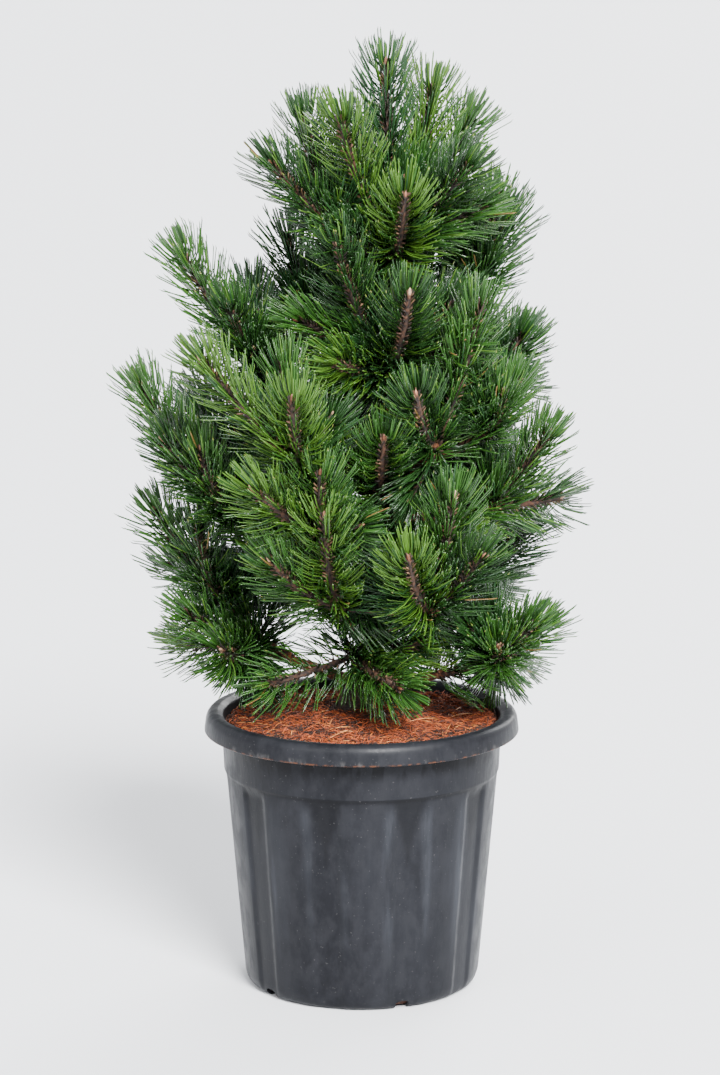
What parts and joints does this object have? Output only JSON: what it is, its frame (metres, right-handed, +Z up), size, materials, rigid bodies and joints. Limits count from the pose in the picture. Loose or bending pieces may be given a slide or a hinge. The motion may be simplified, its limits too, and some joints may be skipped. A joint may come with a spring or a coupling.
{
  "type": "potted mugo pine",
  "caption": "Young mugo pine in a black nursery pot: tapering trunk, upswept boughs and bottle-brush shoots of long stiff needles.",
  "frame": {"origin": "centre of the pot's flat underside, on the ground", "axes": "+Z up along the pot's axis, -Y towards the side seen in the picture, +X to that side's right"},
  "size_m": [0.5027, 0.4095, 0.9804],
  "materials": {
    "pot": "moulded black polyethylene, satin, with dusty water marks",
    "growing_medium": "loose orange-brown coir and bark",
    "trunk_bark": "rough grey-brown scaly bark",
    "bough_bark": "scaly bark, orange-brown where it is bare",
    "pine_needles": "stiff green needles with a soft sheen"
  },
  "bodies": {
    "root": {"bough_back_right": "bough_bark", "bough_low_left": "bough_bark", "bough_low_left_up": "bough_bark", "bough_low_right": "bough_bark", "bough_lower_back_left": "bough_bark", "bough_lower_back_right": "bough_bark", "bough_lower_front_left": "bough_bark", "bough_lower_right": "bough_bark", "bough_middle_back": "bough_bark", "bough_middle_back_left": "bough_bark", "bough_middle_back_right": "bough_bark", "bough_middle_far_left": "bough_bark", "bough_middle_front_left": "bough_bark", "bough_middle_left": "bough_bark", "bough_middle_right": "bough_bark", "bough_middle_right_end": "bough_bark", "bough_right_side": "bough_bark", "bough_top_left": "bough_bark", "bough_upper_back": "bough_bark", "bough_upper_back_left": "bough_bark", "bough_upper_back_right": "bough_bark", "bough_upper_left": "bough_bark", "growing_medium": "growing_medium", "needles_back_right": "pine_needles", "needles_inner_left": "pine_needles", "needles_inner_right": "pine_needles", "needles_leader": "pine_needles", "needles_low_front": "pine_needles", "needles_low_left": "pine_needles", "needles_low_left_up": "pine_needles", "needles_low_right": "pine_needles", "needles_lower_back_left": "pine_needles", "needles_lower_back_right": "pine_needles", "needles_lower_front_left": "pine_needles", "needles_lower_right": "pine_needles", "needles_middle_back": "pine_needles", "needles_middle_back_left": "pine_needles", "needles_middle_back_right": "pine_needles", "needles_middle_far_left": "pine_needles", "needles_middle_front": "pine_needles", "needles_middle_front_left": "pine_needles", "needles_middle_left": "pine_needles", "needles_middle_right": "pine_needles", "needles_middle_right_end": "pine_needles", "needles_right_side": "pine_needles", "needles_top_back": "pine_needles", "needles_top_back_right": "pine_needles", "needles_top_front": "pine_needles", "needles_top_front_left": "pine_needles", "needles_top_left": "pine_needles", "needles_top_right": "pine_needles", "needles_upper_back": "pine_needles", "needles_upper_back_left": "pine_needles", "needles_upper_back_right": "pine_needles", "needles_upper_front": "pine_needles", "needles_upper_front_left": "pine_needles", "needles_upper_left": "pine_needles", "needles_upper_right": "pine_needles", "pot": "pot", "trunk": "trunk_bark"}
  },
  "joints": []
}
